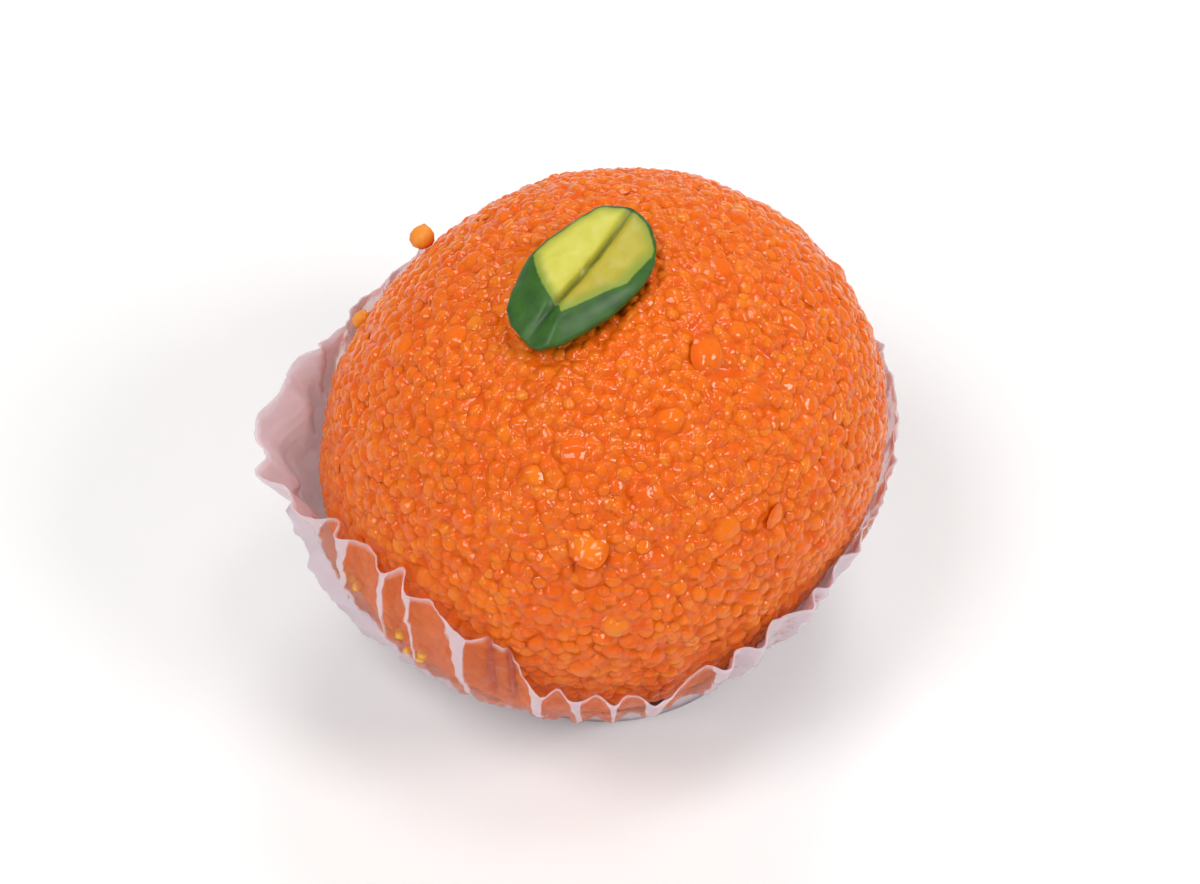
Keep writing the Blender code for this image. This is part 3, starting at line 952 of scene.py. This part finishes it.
    # Oil gets where the paper comes near the ball, least on the ridges of the pleats
    nearest = add(sums, (reach[0], given["Clearance"]), operation="SUBTRACT")
    gap = add(sums, (pleated, nearest), operation="SUBTRACT")
    touching = add(span, {"Value": gap, "To Min": 1.0, "To Max": 0.0, **OILED_GAP}, **eased)
    ridge = add(span, {"Value": wave, "From Min": 0.9, "From Max": 1.0, "To Max": 0.8}, **eased)
    high = add(span, {"Value": share, "From Min": 0.36, "From Max": 0.62}, **eased)
    streaks = add(sums, (ridge, high), operation="MULTIPLY")
    over_band = add(sums, (belly, 0.8, waist), operation="MULTIPLY_ADD")
    lowered = add(sums, (over_band, HIGHEST_MILKY), operation="MINIMUM")
    jagged = add(sums, (wave, MILKY_POINTS, lowered), operation="MULTIPLY_ADD")
    milky_to = add(sums, (ragged, 2.0, jagged), operation="MULTIPLY_ADD")
    fading = add(sums, (belly, 2.2, MILKY_FADE), operation="MULTIPLY_ADD")
    clear_from = add(sums, (milky_to, fading), operation="ADD")
    low = add(
        span,
        {"Value": height, "From Min": milky_to, "From Max": clear_from, "To Min": 0.8, "To Max": 0.0},
        **eased,
    )
    drier = add(sums, (dryness, low), operation="ADD")
    parched = add(sums, (streaks, drier), operation="ADD")
    oiled = add(sums, (touching, parched), operation="SUBTRACT")
    marked = sheet
    for label, value in (("oiled", oiled), ("rise", share), ("tuck", tucked)):
        marked = add(
            "GeometryNodeStoreNamedAttribute",
            {"Geometry": marked, "Name": label, "Value": value},
            data_type="FLOAT",
            domain="POINT",
        )
    wall = add("GeometryNodeSetPosition", {"Geometry": marked, "Position": placed})

    # The foot
    disc = add(
        "GeometryNodeMeshCircle",
        {"Vertices": given["Columns"], "Radius": given["Foot Radius"]},
        fill_type="TRIANGLE_FAN",
    )
    turned = add("GeometryNodeFlipFaces", {"Mesh": disc})
    off_table = add("ShaderNodeCombineXYZ", {2: given["Paper"]})
    disc_at = add("ShaderNodeVectorMath", (given["Foot Middle"], off_table), operation="ADD")
    foot = add("GeometryNodeTransform", {"Geometry": turned, "Translation": disc_at})
    both = add("GeometryNodeJoinGeometry", (wall,))
    tree.links.new(foot.outputs[0], both.inputs[0])
    joined = add("GeometryNodeMergeByDistance", {"Geometry": both, "Distance": SAME_SPOT})
    smooth = add("GeometryNodeSetShadeSmooth", {"Geometry": joined})
    real = add("GeometryNodeRealizeInstances", {"Geometry": smooth})
    made = add("GeometryNodeSetMaterial", {"Geometry": real, "Material": given["Finish"]})
    tree.links.new(made.outputs[0], finish.inputs[0])
    return tree


def foot_middle():
    """The middle of the case's foot, from the frame's solid."""
    spots = [v.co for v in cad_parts["paper_case"].data.vertices if v.co.z < SAME_SPOT]
    xs = [spot.x for spot in spots]
    ys = [spot.y for spot in spots]
    return Vector(((min(xs) + max(xs)) / 2, (min(ys) + max(ys)) / 2, 0.0))


def paper_case(core, middle, material):
    """The case on its foot's middle, its wall as thick as the paper."""
    values = {
        "Ball": core,
        "Foot Middle": middle,
        "Foot Radius": FOOT_RADIUS,
        "Paper": PAPER,
        "Clearance": PAPER_CLEARANCE,
        "Columns": COLUMNS,
        "Rows": ROWS,
        "Flutes": float(FLUTES),
        "Finish": material,
    }
    return grow("glassine_case", pleated_case_tree(), values, wall=PAPER)


# The pistachio half


def nut_middle():
    """The middle of the nut's cut face, from the frame's solid."""
    low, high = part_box("pistachio")
    return Vector(((low.x + high.x) / 2, (low.y + high.y) / 2, high.z - NUT_CROWN))


def closed_curve(points, count):
    """Evenly many points on the smooth closed curve through the given ones."""
    found = []
    for k in range(count):
        at = k * len(points) / count
        first = int(at)
        t = at - first
        p0, p1, p2, p3 = (Vector(points[(first + step) % len(points)]) for step in (-1, 0, 1, 2))
        bend = (2 * p0 - 5 * p1 + 4 * p2 - p3) * t**2 + (3 * (p1 - p2) + p3 - p0) * t**3
        found.append((2 * p1 + (p2 - p0) * t + bend) / 2)
    return found


def kernel_half(middle, material):
    """The kernel half, cut face up. Along runs from its skinned end to its tip. It carries
    where the skin is, how green the flesh is, where the seam runs and which lobe it is."""
    around = 72
    face_rings = 18
    under_rings = 12
    shape = bmesh.new()
    skin = shape.verts.layers.float.new("skin")
    green = shape.verts.layers.float.new("green")
    seam_line = shape.verts.layers.float.new("seam")
    lobe = shape.verts.layers.float.new("lobe")
    place = Matrix.Translation(middle) @ Matrix.Rotation(math.radians(NUT_TURN), 4, "Z")

    edge = closed_curve(NUT_OUTLINE, around)

    def outline(k, share):
        along, across = edge[k]
        wobble = 1.0 + 0.02 * noise.noise(Vector((along, across, 8.0)) * 0.9)
        return along * share * wobble * MM, across * share * wobble * MM

    def seam_y(x):
        along = x / MM
        across, slope, bend = NUT_SEAM
        return (across + slope * along + bend * along**2) * MM

    def skin_depth(x, y):
        """How far inside the skin a point of the cut face is, in mm: past a bent line across
        its left end, or past a line along its lower side."""
        along, across = x / MM, y / MM
        past = max(0.0, across + 0.95)
        left = -4.1 + 0.15 * past + 0.09 * past**2 - along + min(0.0, across + 0.95)
        lower = -2.75 - 0.4 * (along + 1.4) - across
        if along > 1.0:
            lower = -3.71 + 0.05 * (along - 1.0) - across
        return max(left, lower)

    def add_point(x, y, z, is_skin, is_green, is_seam=0.0, from_seam=0.0):
        vertex = shape.verts.new(place @ Vector((x, y, z)))
        vertex[skin] = is_skin
        vertex[green] = is_green
        vertex[seam_line] = is_seam
        vertex[lobe] = max(0.0, min(1.0, 0.5 + from_seam))
        return vertex

    def face_point(k, share):
        x, y = outline(k, share)
        from_seam = (y - seam_y(x)) / MM
        inside = skin_depth(x, y)
        groove = math.exp(-((from_seam / SEAM_WIDTH) ** 2))
        shallow = max(0.4, min(1.0, (x / MM + 8.0) / 5.0))
        lobes = LOBE_RISE * math.exp(-((abs(from_seam) - LOBE_FROM_SEAM) ** 2) / 1.6) * (1.0 - share**3)
        dip = SEAM_DEPTH * groove * shallow * (1.0 - share**10)
        crown = NUT_CROWN / MM * (1.0 - share**6) - dip + lobes
        drop = SKIN_DROP * (1.0 - math.exp(-((max(0.0, inside) / SKIN_DROP_OVER) ** 1.6)))
        swell = 0.13 * noise.noise(Vector((x, y, 0.0)) / (1.3 * MM))
        z = (crown - drop + swell) * MM
        is_skin = max(0.0, min(1.0, 0.5 + inside / 0.7))
        is_green = max(share**6, min(1.0, max(0.0, 1.0 + inside / 1.4)))
        return add_point(x, y, z, max(is_skin, share**16), is_green, groove * shallow, from_seam)

    rings = []
    for ring in range(1, face_rings + 1):
        share = 1.0 - (1.0 - ring / face_rings) ** 1.25
        rings.append([face_point(k, share) for k in range(around)])
    rim_low = [v.co.copy() for v in rings[-1]]
    unplace = place.inverted()
    for ring in range(under_rings, 0, -1):
        share = math.sin(math.pi / 2 * (ring - 0.5) / under_rings)
        level = []
        for k in range(around):
            x, y = outline(k, share * 0.995)
            rim_z = (unplace @ rim_low[k]).z
            deep = (1.0 - share**2.6) ** (1 / 1.9)
            z = rim_z * (1.0 - deep) - NUT_DEPTH * deep
            level.append(add_point(x, y, min(z, rim_z - 0.05 * MM), 1.0, 1.0))
        rings.append(level)
    top = face_point(0, 0.0)
    bottom = add_point(0.0, 0.0, -NUT_DEPTH, 1.0, 1.0)
    for k in range(around):
        after = (k + 1) % around
        shape.faces.new((top, rings[0][k], rings[0][after]))
        for inner, outer in zip(rings, rings[1:]):
            shape.faces.new((inner[k], outer[k], outer[after], inner[after]))
        shape.faces.new((bottom, rings[-1][after], rings[-1][k]))
    for face in shape.faces:
        face.smooth = True
    bmesh.ops.recalc_face_normals(shape, faces=shape.faces)
    return link_object("pistachio_half", keep_mesh("pistachio_half", shape, material))


# Crumbs


def seen_spot(tree, centre, across, up):
    """Where the photo's view meets the ball at this distance in mm across and up from its
    middle, and the surface's direction there. Past its outline, the nearest of it."""
    aside = Vector((across, up * math.sin(VIEW_ELEVATION), up * math.cos(VIEW_ELEVATION))) * MM
    hit, normal, _, _ = tree.ray_cast(centre + aside + TO_CAMERA * VIEW_START * MM, -TO_CAMERA)
    if hit is None:
        toward = aside.normalized()
        hit, normal, _, _ = tree.ray_cast(centre + toward * RAY_LENGTH * MM, -toward)
    return hit, normal


def marked_pearls(tree, centre, material):
    """The few pearls that stand out by their size or colour: a smooth wide one, a long
    yellowish one and two small pale ones."""
    shape = bmesh.new()
    tint = shape.verts.layers.float.new("tint")
    for across, up, wide, tall, shade in MARKED_PEARLS:
        spot, normal = seen_spot(tree, centre, across, up)
        form = pearl("marked_pearl", MARKED_SIDES, LARGE_PROFILE)
        before = len(shape.verts)
        shape.from_mesh(form.data)
        shape.verts.ensure_lookup_table()
        turn = normal.to_track_quat("Z", "Y").to_matrix().to_4x4()
        sizes = Matrix.Diagonal((wide / 2 * MM, tall / 2 * MM, wide / 3.0 * MM, 1.0))
        put = Matrix.Translation(spot + normal * MARKED_LIFT * MM) @ turn @ sizes
        for vertex in shape.verts[before:]:
            vertex.co = put @ vertex.co
            vertex[tint] = shade
        bpy.data.objects.remove(form)
    return link_object("boondi_marked", keep_mesh("boondi_marked", shape, material))


def crumb(shape, rng, spot, size):
    """One lumpy crumb."""
    made = bmesh.ops.create_icosphere(shape, subdivisions=2, radius=size)
    for vertex in made["verts"]:
        shift = Vector((rng.random() * 0.1, 0, size * 4e4))
        lumps = 1.0 + 0.4 * noise.noise(vertex.co / size * 1.3 + shift)
        vertex.co = vertex.co * lumps + spot


def crumbs(tree, centre, name, places, material):
    """Crumbs in clusters, each at its place across and up in the photo's view."""
    rng = random.Random(5)
    shape = bmesh.new()
    for across, up, count, size, off in places:
        for _ in range(count):
            aside = rng.uniform(-CLUSTER[0], CLUSTER[0]) * (count > 1)
            higher = rng.uniform(-CLUSTER[1], CLUSTER[1]) * (count > 1)
            spot, normal = seen_spot(tree, centre, across + aside, up + higher)
            crumb(shape, rng, spot + normal * off * MM, size * MM * rng.uniform(*CRUMB_SIZES))
    for face in shape.faces:
        face.smooth = True
    return link_object(name, keep_mesh(name, shape, material))


# Camera, floor and light


def stage(middle):
    """A white floor, the photo's camera, lamps round the ladoo and an even white sky."""
    shape = bmesh.new()
    bmesh.ops.create_grid(shape, x_segments=1, y_segments=1, size=FLOOR_HALF)
    floor = link_object("floor", keep_mesh("floor", shape, studio_floor_material()))

    target = middle + Vector((0, 0, BALL_MIDDLE_HEIGHT)) + VIEW_AIM
    camera = bpy.data.objects.new("camera", bpy.data.cameras.new("camera"))
    camera.data.lens = VIEW_LENS
    camera.data.clip_start = 10 * MM
    camera.location = target + TO_CAMERA * VIEW_DISTANCE
    camera.rotation_euler = TO_CAMERA.to_track_quat("Z", "Y").to_euler()
    scene.collection.objects.link(camera)
    scene.camera = camera

    # Each light: its place round the ladoo, its width and its power
    lights = (
        ("key", (-0.22, -0.14, 0.55), 0.24, 1.2),
        ("top", (0.12, 0.02, 0.60), 0.16, 0.45),
        ("left", (-0.44, -0.20, 0.26), 0.16, 0.40),
        ("right", (0.42, -0.16, 0.42), 0.20, 1.25),
        ("back", (0.06, 0.46, 0.46), 0.26, 1.0),
        ("front", (0.06, -0.56, 0.26), 0.18, 0.24),
    )
    for name, spot, width, power in lights:
        lamp = bpy.data.lights.new(name, "AREA")
        lamp.shape = "DISK"
        lamp.size = width
        lamp.energy = power
        item = bpy.data.objects.new(name, lamp)
        item.location = Vector(spot)
        item.rotation_euler = (item.location - target).to_track_quat("Z", "Y").to_euler()
        scene.collection.objects.link(item)

    world = bpy.data.worlds.new("studio")
    world.use_nodes = True
    background = world.node_tree.nodes["Background"]
    background.inputs["Color"].default_value = (1.0, 1.0, 1.0, 1.0)
    background.inputs["Strength"].default_value = SKY_STRENGTH
    scene.world = world
    scene.view_settings.view_transform = "Standard"


def main():
    middle = foot_middle()
    centre = middle + Vector((0, 0, BALL_MIDDLE_HEIGHT))
    nut_place = nut_middle()
    nut = kernel_half(nut_place, kernel_material(nut_place))
    core, seat = ball_core(syrup_core_material())
    skin = BVHTree.FromObject(core, bpy.context.evaluated_depsgraph_get())
    boondi = syrup_pearl_material()
    marked = marked_pearls(skin, centre, boondi)
    large, fine = cover_with_pearls(seat, (nut, marked), boondi)
    case = paper_case(core, middle, glassine_material())
    yellow = crumb_material("dry_gram_flour_crumb", "#f2c23c", "#e8a52a")
    orange = crumb_material("half_soaked_gram_flour_crumb", "#f5a530", "#ec8420")
    yellow_bits = crumbs(skin, centre, "crumbs_yellow", YELLOW_CRUMBS, yellow)
    orange_bits = crumbs(skin, centre, "crumbs_orange", ORANGE_CRUMBS, orange)

    for piece in (core, large, fine, marked, yellow_bits, orange_bits):
        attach(piece, "root")
        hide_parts("ladoo")
    for piece, name in ((case, "paper_case"), (nut, "pistachio")):
        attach(piece, "root")
        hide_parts(name)
    stage(middle)


main()
